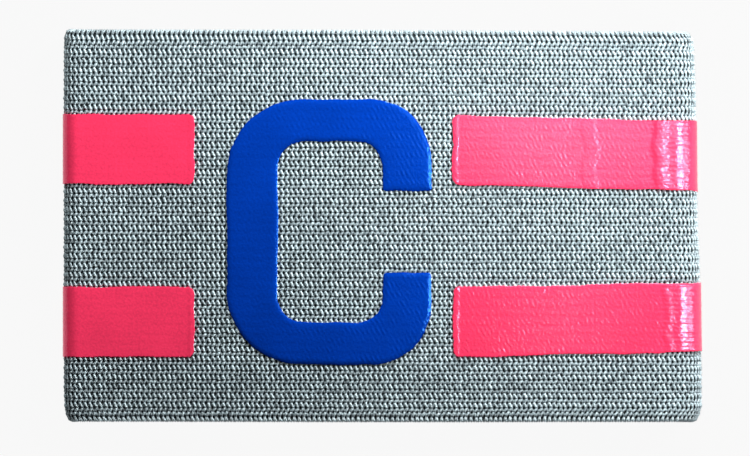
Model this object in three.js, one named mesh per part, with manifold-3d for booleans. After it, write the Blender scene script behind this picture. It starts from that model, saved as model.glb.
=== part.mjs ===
// A captain's armband: a loop of knitted elastic that lies flattened, folded at both ends and sewn
// to itself in a lap at the middle of its back. Its face carries stripes and a plain block letter C
// of thin raised film, and the stripes run round both folds.
// Sizes are in millimetres. X runs along the folded loop, Y across the band and Z up from the
// surface that the band lies on.

import * as THREE from 'three';
import { mergeVertices } from 'three/addons/utils/BufferGeometryUtils.js';
import Module from 'manifold-3d';

// The elastic loop
const foldedLength = 114.4;
const bandWidth = 70;
const bandWall = 1.6;
const rightFoldRadius = 4.3;
const leftFoldRadius = 2.6;
const middleHeight = 12;
const foldLift = 1;
const restingLength = 60;
const upperEdgeFall = 0.7;

// The sewn lap of its two ends
const lapLength = 18;
const lapRampLength = 5;
const lapEndSlant = 0.4;

// The film and the gap under it
const filmThickness = 0.3;
const filmGap = 0.15;

// The letter
const letterWidth = 36.5;
const letterHeight = 47.4;
const letterStem = 9.1;
const letterArm = 7.5;
const letterLip = 8.6;
const letterLipLength = 16.4;
const stemCorner = 13.4;
const lipCorner = 10.7;
const counterCorner = 4.6;
const lipEndCorner = 0.6;
const letterCentreX = -9.6;
const letterCentreY = -1.15;

// The stripes
const stripeHeight = 12.5;
const stripeSpacing = 30.9;
const stripeCentreY = -1.75;
const stripeCorner = 1.1;
const leftStripeMargin = 5.9;
const rightStripeMargin = 3.9;
const stripeReturn = 10;
const rightStripeTilt = THREE.MathUtils.degToRad(1.2);

// How finely the curved stretches are cut
const foldSteps = 12;
const faceSteps = 18;
const backSteps = 7;
const cornerSteps = 8;
const slopeStep = 0.01;

// Sections across the band, from its lower edge to its upper one. The columns are: place across the
// width, thickness as a share of the wall, height as a share of the section in the middle, and how
// far each fold reaches as a share of half the folded length.
const sections = [
  { across: 0.000, wall: 0.50, height: 0.955, right: 0.968, left: 0.978 },
  { across: 0.008, wall: 1.00, height: 0.960, right: 0.977, left: 0.986 },
  { across: 0.035, wall: 1.00, height: 0.968, right: 0.989, left: 0.994 },
  { across: 0.080, wall: 1.00, height: 0.980, right: 0.994, left: 0.998 },
  { across: 0.130, wall: 1.00, height: 0.990, right: 1.000, left: 1.000 },
  { across: 0.220, wall: 1.00, height: 1.000, right: 0.993, left: 1.000 },
  { across: 0.360, wall: 1.00, height: 1.000, right: 0.984, left: 1.000 },
  { across: 0.610, wall: 1.00, height: 1.000, right: 0.973, left: 1.000 },
  { across: 0.830, wall: 1.00, height: 0.990, right: 0.964, left: 1.000 },
  { across: 0.965, wall: 1.00, height: 0.975, right: 0.962, left: 0.998 },
  { across: 0.992, wall: 1.00, height: 0.970, right: 0.958, left: 0.993 },
  { across: 1.000, wall: 0.50, height: 0.965, right: 0.953, left: 0.987 },
];

// Rungs through the lap, from left to right. The ends of each rung are given by their distance from
// the lap's middle, and by their height in walls: 0 is the lying surface, 1 the top of one layer.
const lapHalf = lapLength / 2;
const rampStart = lapHalf + lapRampLength;
const rampMiddle = lapHalf + lapRampLength / 2;
const lapRungs = [
  { outerX: -rampStart, outerWalls: 0.00, innerX: -rampStart, innerWalls: 1.00 },
  { outerX: -rampMiddle, outerWalls: 0.42, innerX: -rampMiddle, innerWalls: 1.50 },
  { outerX: -lapHalf - lapEndSlant, outerWalls: 0.86, innerX: -lapHalf - lapEndSlant, innerWalls: 1.94 },
  { outerX: -lapHalf, outerWalls: 0.00, innerX: -lapHalf + lapEndSlant, innerWalls: 2.00 },
  { outerX: 0, outerWalls: 0.00, innerX: 0, innerWalls: 2.00 },
  { outerX: lapHalf - lapEndSlant, outerWalls: 0.00, innerX: lapHalf, innerWalls: 2.00 },
  { outerX: lapHalf + lapEndSlant, outerWalls: 0.00, innerX: lapHalf + lapEndSlant, innerWalls: 1.00 },
];

const halfLength = foldedLength / 2;
const rightFoldX = halfLength - rightFoldRadius;
const leftFoldX = leftFoldRadius - halfLength;

function evenly(from, to, steps) {
  return Array.from({ length: steps + 1 }, (_, step) => from + (to - from) * step / steps);
}

// Height of the outside of the lower wall: flat where it rests, then lifted towards each fold
function lowerHeight(x) {
  const foldDistance = x > 0 ? rightFoldX : -leftFoldX;
  return foldLift * THREE.MathUtils.smoothstep(Math.abs(x), restingLength / 2, foldDistance);
}

// Height of the outside of the upper wall: an arch that comes down level into each fold
function upperHeight(x) {
  const leftTop = foldLift + 2 * leftFoldRadius;
  const rightTop = foldLift + 2 * rightFoldRadius;
  const share = (x - leftFoldX) / (rightFoldX - leftFoldX);
  const base = leftTop + (rightTop - leftTop) * THREE.MathUtils.smoothstep(share, 0, 1);
  const archRise = middleHeight - (leftTop + rightTop) / 2;
  return base + archRise * Math.sin(Math.PI * share) ** 2;
}

// A place on the outside of the wall, with the direction in which the wall faces there
function wallStation(x, heightAt, facing) {
  const slope = (heightAt(x + slopeStep) - heightAt(x - slopeStep)) / (2 * slopeStep);
  const length = Math.hypot(slope, 1);
  return { x, z: heightAt(x), faceX: -facing * slope / length, faceZ: facing / length };
}

function foldStations(centreX, radius, fromAngle) {
  return evenly(fromAngle, fromAngle + Math.PI, foldSteps).slice(1, -1).map((angle) => ({
    x: centreX + radius * Math.cos(angle),
    z: foldLift + radius + radius * Math.sin(angle),
    faceX: Math.cos(angle),
    faceZ: Math.sin(angle),
  }));
}

const rightBack = evenly(rampStart, rightFoldX, backSteps).map((x) => wallStation(x, lowerHeight, -1));
const leftBack = evenly(leftFoldX, -rampStart, backSteps).map((x) => wallStation(x, lowerHeight, -1));
const rightFold = foldStations(rightFoldX, rightFoldRadius, -Math.PI / 2);
const leftFold = foldStations(leftFoldX, leftFoldRadius, Math.PI / 2);
const face = evenly(rightFoldX, leftFoldX, faceSteps).map((x) => wallStation(x, upperHeight, 1));

// A point of the section with the given row: the loop's own x and z, moved to that row's place
function placePoint(x, z, row) {
  const reach = x > 0 ? row.right : row.left;
  const fall = upperEdgeFall * (x / foldedLength + 0.5) * row.across;
  return [x * reach, (row.across - 0.5) * bandWidth - fall, z * row.height];
}

// A rung runs through the thickness, from its outer point to its inner one
function stationRung(station, outerOffset, innerOffset, row) {
  return [outerOffset, innerOffset].map((offset) => placePoint(
    station.x + station.faceX * offset,
    station.z + station.faceZ * offset,
    row,
  ));
}

function lapRung(rung, row) {
  const pinch = bandWall * (1 - row.wall) / 2;
  return [
    placePoint(rung.outerX, rung.outerWalls * bandWall + pinch, row),
    placePoint(rung.innerX, rung.innerWalls * bandWall - pinch, row),
  ];
}

// The closed surface over rows of rungs. A ring's last rung joins its first, a strip has two ends.
function skinGeometry(rows, isRing) {
  const rungCount = rows[0].length;
  const positions = rows.flat(3);
  const index = [];
  const outer = (row, rung) => 2 * (row * rungCount + rung % rungCount);
  const inner = (row, rung) => outer(row, rung) + 1;
  const addQuad = (a, b, c, d) => index.push(a, b, c, a, c, d);
  const lastRow = rows.length - 1;
  const spans = isRing ? rungCount : rungCount - 1;
  for (let rung = 0; rung < spans; rung += 1) {
    const next = rung + 1;
    for (let row = 0; row < lastRow; row += 1) {
      addQuad(outer(row, rung), outer(row + 1, rung), outer(row + 1, next), outer(row, next));
      addQuad(inner(row + 1, next), inner(row + 1, rung), inner(row, rung), inner(row, next));
    }
    addQuad(outer(0, rung), outer(0, next), inner(0, next), inner(0, rung));
    addQuad(outer(lastRow, rung), inner(lastRow, rung), inner(lastRow, next), outer(lastRow, next));
  }
  if (!isRing) {
    for (let row = 0; row < lastRow; row += 1) {
      const above = row + 1;
      addQuad(outer(row, 0), inner(row, 0), inner(above, 0), outer(above, 0));
      addQuad(outer(row, spans), outer(above, spans), inner(above, spans), inner(row, spans));
    }
  }
  const geometry = new THREE.BufferGeometry();
  geometry.setAttribute('position', new THREE.Float32BufferAttribute(positions, 3));
  geometry.setIndex(index);
  return geometry;
}

function bandGeometry() {
  const rows = sections.map((row) => {
    const pinch = bandWall * (1 - row.wall) / 2;
    const plainRung = (station) => stationRung(station, -pinch, pinch - bandWall, row);
    return [
      ...leftBack.slice(0, -1).map(plainRung),
      ...lapRungs.map((rung) => lapRung(rung, row)),
      ...rightBack.map(plainRung),
      ...rightFold.map(plainRung),
      ...face.map(plainRung),
      ...leftFold.map(plainRung),
    ];
  });
  return skinGeometry(rows, true);
}

const wasm = await Module();
wasm.setup();

function solidOf(geometry) {
  const bare = geometry.clone();
  bare.deleteAttribute('normal');
  bare.deleteAttribute('uv');
  const merged = mergeVertices(bare);
  return new wasm.Manifold(new wasm.Mesh({
    numProp: 3,
    vertProperties: new Float32Array(merged.attributes.position.array),
    triVerts: new Uint32Array(merged.index.array),
  }));
}

function geometryOf(solid) {
  const mesh = solid.getMesh();
  const geometry = new THREE.BufferGeometry();
  geometry.setAttribute('position', new THREE.Float32BufferAttribute(mesh.vertProperties, 3));
  geometry.setIndex(Array.from(mesh.triVerts));
  return geometry;
}

// A sheet of film that follows the wall through the given stations, at its gap over the knit
function filmSheet(stations) {
  const rows = sections.filter((row) => row.wall === 1).map((row) => (
    stations.map((station) => stationRung(station, filmGap + filmThickness, filmGap, row))
  ));
  return solidOf(skinGeometry(rows, false));
}

// An outline of straight sides that meet at right angles, each corner rounded by an arc
function roundedOutline(corners) {
  const shape = new THREE.Shape();
  corners.forEach((corner, place) => {
    const at = new THREE.Vector2(corner.x, corner.y);
    const before = corners[(place + corners.length - 1) % corners.length];
    const after = corners[(place + 1) % corners.length];
    const toBefore = new THREE.Vector2(before.x, before.y).sub(at).setLength(corner.radius);
    const toAfter = new THREE.Vector2(after.x, after.y).sub(at).setLength(corner.radius);
    const centre = at.clone().add(toBefore).add(toAfter);
    const startAngle = toAfter.clone().negate().angle();
    const endAngle = toBefore.clone().negate().angle();
    const isClockwise = toBefore.cross(toAfter) > 0;
    shape.absarc(centre.x, centre.y, corner.radius, startAngle, endAngle, isClockwise);
  });
  return shape;
}

// An upright prism over an outline, to cut film with
function prism(shape, lowZ, highZ) {
  const geometry = new THREE.ExtrudeGeometry(shape, {
    depth: highZ - lowZ,
    bevelEnabled: false,
    curveSegments: cornerSteps,
  });
  return geometry.translate(0, 0, lowZ);
}

function letterOutline() {
  const left = letterCentreX - letterWidth / 2;
  const right = left + letterWidth;
  const bottom = letterCentreY - letterHeight / 2;
  const top = bottom + letterHeight;
  const lipLeft = right - letterLip;
  return roundedOutline([
    { x: right, y: bottom + letterLipLength, radius: lipEndCorner },
    { x: right, y: bottom, radius: lipCorner },
    { x: left, y: bottom, radius: stemCorner },
    { x: left, y: top, radius: stemCorner },
    { x: right, y: top, radius: lipCorner },
    { x: right, y: top - letterLipLength, radius: lipEndCorner },
    { x: lipLeft, y: top - letterLipLength, radius: lipEndCorner },
    { x: lipLeft, y: top - letterArm, radius: counterCorner },
    { x: left + letterStem, y: top - letterArm, radius: counterCorner },
    { x: left + letterStem, y: bottom + letterArm, radius: counterCorner },
    { x: lipLeft, y: bottom + letterArm, radius: counterCorner },
    { x: lipLeft, y: bottom + letterLipLength, radius: lipEndCorner },
  ]);
}

// Above and below everything, so that the prisms cut right through
const cutTop = middleHeight + 2 * rightFoldRadius;
const cutBottom = -bandWall;

function letterGeometry() {
  const letterSpan = [letterCentreX - letterWidth / 2, letterCentreX + letterWidth / 2];
  const step = face[0].x - face[1].x;
  const stations = face.filter(({ x }) => x > letterSpan[0] - step && x < letterSpan[1] + step);
  return geometryOf(filmSheet(stations).intersect(solidOf(prism(letterOutline(), foldLift, cutTop))));
}

// A stripe's outline from its inner end, which starts at endX, to past the fold on that side
function stripeOutline(endX, side, centreY) {
  const beyondX = side * (halfLength + 2 * bandWall);
  const low = centreY - stripeHeight / 2;
  const high = centreY + stripeHeight / 2;
  return roundedOutline([
    { x: endX, y: low, radius: stripeCorner },
    { x: endX, y: high, radius: stripeCorner },
    { x: beyondX, y: high, radius: stripeCorner },
    { x: beyondX, y: low, radius: stripeCorner },
  ]);
}

// A stripe lies on the face, turns round the fold and ends on the back, where the wall is lifted
function stripeGeometry({ side, row, tilt }) {
  const foldX = side > 0 ? rightFoldX : leftFoldX;
  const margin = side > 0 ? rightStripeMargin : leftStripeMargin;
  const startX = letterCentreX + side * (letterWidth / 2 + margin);
  const returnX = foldX - side * stripeReturn;
  const centreY = stripeCentreY + row * stripeSpacing / 2;
  const splitZ = foldLift + (side > 0 ? rightFoldRadius : leftFoldRadius);
  const step = face[0].x - face[1].x;
  const onFace = face.filter(({ x }) => side * x > side * startX - step);
  const onBack = (side > 0 ? rightBack : leftBack).filter(({ x }) => side * (x - returnX) > -step);
  const stations = side > 0
    ? [...onBack, ...rightFold, ...onFace]
    : [...onFace, ...leftFold, ...onBack];
  const over = prism(stripeOutline(startX, side, centreY), splitZ, cutTop);
  const under = prism(stripeOutline(returnX, side, centreY), cutBottom, splitZ);
  const cutter = solidOf(over).add(solidOf(under));
  const turned = cutter.translate([-startX, -centreY, 0])
    .rotate([0, 0, THREE.MathUtils.radToDeg(tilt)])
    .translate([startX, centreY, 0]);
  return geometryOf(filmSheet(stations).intersect(turned));
}

const stripes = [
  { name: 'stripe_left_upper', side: -1, row: 1, tilt: 0 },
  { name: 'stripe_left_lower', side: -1, row: -1, tilt: 0 },
  { name: 'stripe_right_upper', side: 1, row: 1, tilt: -rightStripeTilt },
  { name: 'stripe_right_lower', side: 1, row: -1, tilt: rightStripeTilt },
];

function namedMesh(name, geometry, finish) {
  const mesh = new THREE.Mesh(geometry, new THREE.MeshStandardMaterial(finish));
  mesh.name = name;
  return mesh;
}

const knitFinish = { color: 0x838f93, roughness: 0.8, metalness: 0 };
const stripeFinish = { color: 0xf94a72, roughness: 0.45, metalness: 0 };
const letterFinish = { color: 0x043aaf, roughness: 0.35, metalness: 0 };

const armband = new THREE.Group();
armband.add(namedMesh('elastic_band', bandGeometry(), knitFinish));
armband.add(namedMesh('letter_c', letterGeometry(), letterFinish));
for (const stripe of stripes) {
  armband.add(namedMesh(stripe.name, stripeGeometry(stripe), stripeFinish));
}

// The origin is under the middle of the whole armband, on the surface that it lies on
const bounds = new THREE.Box3().setFromObject(armband);
const middle = bounds.getCenter(new THREE.Vector3());
armband.position.set(-middle.x, -middle.y, -bounds.min.z);

export default armband;
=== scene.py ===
"""Dresses a captain's armband: ribbed elastic knit, film stripes and a film letter, lying on a pale floor.

The cloth pieces are modelled flat, as (along the loop, across the band, height over the knit), and are then
wrapped round the folded loop by one rule, so that knit, stripes and letter always follow the same wall.
"""
import math

import bmesh
import bpy
import numpy as np
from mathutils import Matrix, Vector


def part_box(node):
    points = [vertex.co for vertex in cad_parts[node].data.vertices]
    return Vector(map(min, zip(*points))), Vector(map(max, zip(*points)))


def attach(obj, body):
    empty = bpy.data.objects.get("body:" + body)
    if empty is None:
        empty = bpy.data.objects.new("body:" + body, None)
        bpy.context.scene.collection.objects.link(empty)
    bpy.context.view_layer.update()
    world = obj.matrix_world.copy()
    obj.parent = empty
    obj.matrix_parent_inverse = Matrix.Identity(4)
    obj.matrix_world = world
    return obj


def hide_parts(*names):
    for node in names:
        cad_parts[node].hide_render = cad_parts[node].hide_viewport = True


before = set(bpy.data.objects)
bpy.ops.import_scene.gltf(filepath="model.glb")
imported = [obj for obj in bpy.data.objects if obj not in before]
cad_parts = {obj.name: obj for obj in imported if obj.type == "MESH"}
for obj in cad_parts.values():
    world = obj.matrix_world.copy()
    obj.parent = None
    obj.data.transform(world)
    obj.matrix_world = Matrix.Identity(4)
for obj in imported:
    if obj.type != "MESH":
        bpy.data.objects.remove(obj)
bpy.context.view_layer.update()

bl_info = {
    "name": "Captain Armband",
    "version": (1, 0, 0),
    "blender": (4, 5, 0),
    "location": "3D View > Sidebar > Armband",
    "description": "Dresses the packed armband in knit and film, with a floor, lights and a camera",
    "category": "Add Mesh",
}

BAND_LOW, BAND_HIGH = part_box("elastic_band")
MM = 0.001
SEED = 7
BODY = "root"


def length(name, description, millimetres):
    return bpy.props.FloatProperty(
        name=name, description=description, default=millimetres * MM, unit="LENGTH", subtype="DISTANCE"
    )


def colour(name, description, red, green, blue):
    return bpy.props.FloatVectorProperty(
        name=name, description=description, default=(red, green, blue), size=3, subtype="COLOR", min=0, max=1
    )


class LoopSizes(bpy.types.PropertyGroup):
    """The folded loop of elastic."""

    folded: length("Folded length", "From fold to fold", (BAND_HIGH.x - BAND_LOW.x) / MM)
    width: length("Band width", "Across the band", (BAND_HIGH.y - BAND_LOW.y) / MM)
    wall: length("Wall", "Thickness of the knit", 1.6)
    right_radius: length("Right fold", "Outside radius of the right fold", 4.3)
    left_radius: length("Left fold", "Outside radius of the left fold", 2.6)
    middle_height: length("Middle height", "Top of the face at the middle", 12)
    lift: length("Fold lift", "How far the back rises towards each fold", 1)
    resting: length("Resting length", "Stretch of the back that lies flat", 60)
    fall: length("Edge fall", "How far the upper edge drops from left to right", 0.5)
    lap: length("Lap", "Length of the sewn lap", 18)
    ramp: length("Lap ramp", "Length over which the inner end climbs on the outer one", 5)


class KnitSizes(bpy.types.PropertyGroup):
    """The stitches of the knit."""

    pitch: length("Stitch pitch", "From stitch to stitch along the band", 0.89)
    rib: length("Rib pitch", "From rib to rib across the band", 1.667)
    pair: length("Row pair", "Between the two rows of holes of one rib", 0.68)
    edge_row: length("Edge row", "From the band's edge to its first row of holes", 0.84)
    second_row: length("Second row", "From the band's edge to its second row of holes", 1.84)
    first_rib: length("First rib", "From the upper edge to the first rib", 2.67)
    yarn_width: length("Yarn width", "Across one strand, lying on the band", 0.47)
    yarn_height: length("Yarn height", "Through one strand", 0.36)
    relief: length("Relief", "From the top of the knit to its ground", 0.5)
    hide: length("Film overlap", "How far the modelled stitches run on under the film", 1.0)


class FilmSizes(bpy.types.PropertyGroup):
    """The film letter and stripes, as seen from above."""

    letter_top: length("Letter top", "Top of the letter over the knit", 0.32)
    stripe_top: length("Stripe top", "Top of the stripes over the knit", 0.2)
    thickness: length("Film thickness", "Through the film", 0.4)
    rounding: length("Film rounding", "Radius of the film's edges", 0.18)
    letter_width: length("Letter width", "Across the letter", 36.5)
    letter_height: length("Letter height", "From the letter's foot to its top", 47.4)
    stem: length("Stem", "Width of the letter's stem", 9.1)
    arm: length("Arm", "Height of each of the letter's arms", 7.5)
    lip: length("Lip", "Width of each of the letter's lips", 8.6)
    lip_length: length("Lip length", "From the letter's top to the end of its lip", 16.4)
    stem_corner: length("Stem corner", "Outer radius on the stem's side", 13.4)
    lip_corner: length("Lip corner", "Outer radius on the lips' side", 10.7)
    counter_corner: length("Counter corner", "Radius inside the letter", 4.6)
    end_corner: length("End corner", "Radius at the ends of the lips", 0.6)
    letter_x: length("Letter centre X", "From the middle of the loop", -9.6)
    letter_y: length("Letter centre Y", "From the middle of the band", -1.15)
    stripe_height: length("Stripe height", "Across one stripe", 12.5)
    stripe_spacing: length("Stripe spacing", "Between the two stripes' middles", 30.9)
    stripe_y: length("Stripes' centre Y", "From the middle of the band", -1.75)
    stripe_corner: length("Stripe corner", "Radius of a stripe's corners", 1.1)
    left_margin: length("Left margin", "From the letter to the left stripes", 5.9)
    right_margin: length("Right margin", "From the letter to the right stripes", 3.9)
    stripe_return: length("Stripe return", "How far the stripes run back under the band", 10)
    tilt: bpy.props.FloatProperty(
        name="Tilt", description="Turn of the right stripes", default=math.radians(1.2),
        unit="ROTATION", subtype="ANGLE",
    )


class Colours(bpy.types.PropertyGroup):
    """The armband's colours."""

    yarn_dark: colour("Dark yarn", "The darkest strands", 0.1, 0.137, 0.156)
    yarn_light: colour("Light yarn", "The lightest strands", 0.58, 0.72, 0.765)
    # The ground's near black is partly the rubber threads and partly painted shade in the holes between the
    # strands.
    ground: colour("Ground", "The dark rubber threads between the strands", 0.012, 0.02, 0.024)
    stripe: colour("Stripe", "The stripes' film", 0.77, 0.034, 0.1)
    letter: colour("Letter", "The letter's film", 0.0007, 0.038, 0.365)
    thread: colour("Thread", "The lap's seam thread", 0.3, 0.34, 0.36)
    floor: colour("Floor", "The floor", 0.01, 0.01, 0.01)


# How the loop changes across the band, as shares of the loop's own sizes. The columns are: place across the
# width from the lower edge, height, reach of the right fold and reach of the left fold.
SECTIONS = np.array([
    (0.000, 0.955, 0.985, 0.986),
    (0.008, 0.960, 0.992, 0.993),
    (0.035, 0.968, 1.000, 0.998),
    (0.080, 0.980, 1.000, 1.000),
    (0.130, 0.990, 1.000, 1.000),
    (0.220, 1.000, 0.997, 1.000),
    (0.360, 1.000, 0.995, 1.000),
    (0.610, 1.000, 0.984, 1.000),
    (0.830, 0.990, 0.982, 1.000),
    (0.965, 0.975, 0.976, 1.000),
    (0.992, 0.970, 0.970, 0.998),
    (1.000, 0.965, 0.962, 0.993),
])
LINE_STEP = 0.1 * MM
FOLD_STEPS = 60
LAP_GAP = 0.03 * MM


def smooth(share):
    share = np.clip(share, 0, 1)
    return share * share * (3 - 2 * share)


class Loop:
    """The outside of the wall, from the lap's inner end round the left fold, the face and the right fold."""

    def __init__(self, sizes):
        self.sizes = sizes
        self.right_x = sizes.folded / 2 - sizes.right_radius
        self.left_x = sizes.left_radius - sizes.folded / 2
        self.shift = (BAND_LOW.x + BAND_HIGH.x) / 2
        line, face = self.trace()
        steps = np.hypot(*np.diff(line, axis=0).T)
        self.line = line
        self.along = np.concatenate([[0], np.cumsum(steps)])
        tangent = np.gradient(line, axis=0)
        tangent /= np.linalg.norm(tangent, axis=1)[:, None]
        self.facing = np.stack([-tangent[:, 1], tangent[:, 0]], axis=1)
        self.face_x = line[face, 0]
        self.along -= np.interp(0, self.face_x, self.along[face])
        self.face_along = self.along[face]
        self.start, self.end = self.along[0], self.along[-1]
        # Where the knit of the outer layer begins, behind the lap
        self.first = self.start + sizes.lap

    def lower(self, x):
        rest = self.sizes.resting / 2
        fold = np.where(x > 0, self.right_x, -self.left_x)
        return self.sizes.lift * smooth((np.abs(x) - rest) / (fold - rest))

    def upper(self, x):
        share = (x - self.left_x) / (self.right_x - self.left_x)
        left_top = self.sizes.lift + 2 * self.sizes.left_radius
        right_top = self.sizes.lift + 2 * self.sizes.right_radius
        base = left_top + (right_top - left_top) * smooth(share)
        rise = self.sizes.middle_height - (left_top + right_top) / 2
        return base + rise * np.sin(math.pi * share) ** 2

    def fold(self, centre_x, radius, start, end):
        angle = np.linspace(start, end, FOLD_STEPS)[1:-1]
        centre_z = self.sizes.lift + radius
        return np.stack([centre_x + radius * np.cos(angle), centre_z + radius * np.sin(angle)], axis=1)

    def trace(self):
        """The section's line as (x, z), and the slice of it that is the face."""
        half_lap = self.sizes.lap / 2
        ramp_end = half_lap + self.sizes.ramp

        def run(start, end, height):
            x = np.linspace(start, end, max(3, round(abs(end - start) / LINE_STEP)))
            return np.stack([x, height(x)], axis=1)

        def over_lap(x):
            return self.sizes.wall + LAP_GAP + 0 * x

        def down_ramp(x):
            return (self.sizes.wall + LAP_GAP) * (1 - smooth((-x - half_lap) / self.sizes.ramp))

        before = [
            run(half_lap, -half_lap, over_lap),
            run(-half_lap, -ramp_end, down_ramp)[1:],
            run(-ramp_end, self.left_x, self.lower)[1:],
            self.fold(self.left_x, self.sizes.left_radius, -math.pi / 2, -3 * math.pi / 2),
        ]
        face = run(self.left_x, self.right_x, self.upper)
        after = [
            self.fold(self.right_x, self.sizes.right_radius, math.pi / 2, -math.pi / 2),
            run(self.right_x, -half_lap + LAP_GAP, self.lower),
        ]
        begin = sum(len(part) for part in before)
        return np.concatenate([*before, face, *after]), slice(begin, begin + len(face))

    def drop(self, x, across):
        """How far the fall of the upper edge moves a point across the band."""
        return self.sizes.fall * (x / self.sizes.folded + 0.5) * (across / self.sizes.width + 0.5)

    def section(self, across):
        """The height, right reach and left reach of the loop at a place across the band."""
        share = across / self.sizes.width + 0.5
        return [np.interp(share, SECTIONS[:, 0], SECTIONS[:, column]) for column in (1, 2, 3)]

    def wrap(self, flat):
        """Where flat points, as (along, across, height), come to lie on the folded loop."""
        along, across, over = flat.T
        line_x, line_z, facing_x, facing_z = (
            np.interp(along, self.along, values) for values in (*self.line.T, *self.facing.T)
        )
        x, z = line_x + over * facing_x, line_z + over * facing_z
        height, right, left = self.section(across)
        reach = np.where(x > 0, right, left)
        return np.stack([x * reach + self.shift, across - self.drop(x, across), z * height], axis=1)

    def plan(self, flat):
        """Where flat points are seen from above, from the middle of the loop."""
        return self.wrap(flat)[:, :2] - (self.shift, 0)

    def face_to_flat(self, plan):
        """The flat places of points on the face that are given as seen from above."""
        x, y, over = plan.T
        _, right, left = self.section(y)
        x = x / np.where(x > 0, right, left)
        return np.stack([np.interp(x, self.face_x, self.face_along), y + self.drop(x, y), over], axis=1)

    def seen_x(self, along):
        return np.interp(along, self.along, self.line[:, 0])

    def back_along(self, side, x):
        """The place along the loop of the point of the back at x, on the given side of the face."""
        on_side = self.along > self.face_along[-1] if side > 0 else self.along < self.face_along[0]
        reach = np.abs(self.line[:, 0] - x) + np.where(on_side & (self.line[:, 1] < self.sizes.wall), 0, 1)
        return float(self.along[np.argmin(reach)])


def loop_and_sizes(scene):
    return Loop(scene.armband_loop), scene.armband_knit, scene.armband_film


def deselect_all():
    if bpy.context.object and bpy.context.object.mode != "OBJECT":
        bpy.ops.object.mode_set(mode="OBJECT")
    bpy.ops.object.select_all(action="DESELECT")


def values_of(items, name, parts=1, kind=float):
    """One value of every item of a mesh, in as many columns as it has parts."""
    values = np.empty(len(items) * parts, kind)
    items.foreach_get(name, values)
    return values.reshape(-1, parts) if parts > 1 else values


def points_of(mesh):
    return values_of(mesh.vertices, "co", 3)


def put_points(mesh, points):
    mesh.vertices.foreach_set("co", points.astype(np.float32).ravel())
    mesh.update()


def apply_modifier(piece, kind, **settings):
    modifier = piece.modifiers.new(kind.title(), kind)
    for name, value in settings.items():
        setattr(modifier, name, value)
    bpy.context.view_layer.objects.active = piece
    bpy.ops.object.modifier_apply(modifier=modifier.name)


def corner_vertices(mesh):
    return values_of(mesh.loops, "vertex_index", kind=np.int32)


def set_uv(mesh, name, places):
    """Writes a UV map from one place for each corner."""
    layer = mesh.uv_layers.get(name) or mesh.uv_layers.new(name=name)
    layer.data.foreach_set("uv", places.astype(np.float32).ravel())


UV_MARGIN = 0.01


def uv_share(flat):
    """Flat places as shares of the piece's own size, a little in from the edges of the UV square."""
    low, high = flat[:, :2].min(axis=0), flat[:, :2].max(axis=0)
    return UV_MARGIN + (1 - 2 * UV_MARGIN) * (flat[:, :2] - low) / (high - low)


def set_bake_uv(mesh, flat):
    """Spreads flat places over the UV square, upper faces on its left half and lower faces on its right."""
    put_points(mesh, flat)
    faces_down = values_of(mesh.polygons, "normal", 3)[:, 2] < -0.5
    lower = np.repeat(faces_down, values_of(mesh.polygons, "loop_total", kind=np.int32))
    places = uv_share(flat)[corner_vertices(mesh)]
    places[:, 0] = (places[:, 0] + lower) / 2
    set_uv(mesh, "OFBake", places)


SHARP_ANGLE = math.radians(50)


def finish_cloth(piece, flat, loop):
    """Keeps the flat places as UV maps, in millimetres and as shares, and wraps the piece round the loop."""
    set_bake_uv(piece.data, flat)
    set_uv(piece.data, "cloth", (flat[:, :2] / MM)[corner_vertices(piece.data)])
    put_points(piece.data, loop.wrap(flat))
    bpy.context.view_layer.objects.active = piece
    piece.select_set(True)
    bpy.ops.object.shade_smooth_by_angle(angle=SHARP_ANGLE)
    piece.select_set(False)


def dress(piece, *materials, slot):
    piece.data.materials.clear()
    for material in materials:
        piece.data.materials.append(material)
    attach(piece, BODY)
    return piece


def new_material(name, roughness=0.5, specular=0.5):
    material = bpy.data.materials.new(name)
    material.use_nodes = True
    shader = material.node_tree.nodes["Principled BSDF"]
    shader.inputs["Roughness"].default_value = roughness
    shader.inputs["Specular IOR Level"].default_value = specular
    return material, material.node_tree, shader


def add_node(tree, kind, inputs=(), **settings):
    """A node with the given settings, and with its inputs, by place or name, set or linked."""
    node = tree.nodes.new(kind)
    for name, value in settings.items():
        setattr(node, name, value)
    for key, value in dict(inputs).items():
        if isinstance(value, bpy.types.NodeSocket):
            tree.links.new(value, node.inputs[key])
        else:
            node.inputs[key].default_value = value
    return node


def maths(tree, operation, first, second=0.0):
    return add_node(tree, "ShaderNodeMath", {0: first, 1: second}, operation=operation).outputs[0]


def plus(tree, first, second):
    return maths(tree, "ADD", first, second)


def times(tree, first, second):
    return maths(tree, "MULTIPLY", first, second)


def noise(tree, vector, scale, detail):
    inputs = {"Vector": vector, "Scale": scale, "Detail": detail}
    return add_node(tree, "ShaderNodeTexNoise", inputs).outputs["Fac"]


def spread(tree, value, low, high, to_low, to_high):
    """Moves a value from one range to another, and holds it there."""
    inputs = {0: value, 1: low, 2: high, 3: to_low, 4: to_high}
    return add_node(tree, "ShaderNodeMapRange", inputs).outputs[0]


def ramp(tree, factor, stops):
    node = add_node(tree, "ShaderNodeValToRGB", {0: factor})
    elements = node.color_ramp.elements
    while len(elements) < len(stops):
        elements.new(0.5)
    for element, (place, shade) in zip(elements, stops):
        element.position = place
        element.color = (*shade, 1)
    return node.outputs[0]


def bump(tree, shader, height, strength, distance):
    node = add_node(tree, "ShaderNodeBump", {"Strength": strength, "Distance": distance, "Height": height})
    tree.links.new(node.outputs[0], shader.inputs["Normal"])


def scaled(shade, factor):
    return tuple(min(1.0, channel * factor) for channel in shade)


def object_place(tree):
    return add_node(tree, "ShaderNodeTexCoord").outputs["Object"]


def uv_place(tree, name):
    """A UV map's place, whole and in its parts."""
    uv = add_node(tree, "ShaderNodeUVMap", uv_map=name).outputs[0]
    return uv, add_node(tree, "ShaderNodeSeparateXYZ", {0: uv}).outputs


TURN = 2 * math.pi


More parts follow.
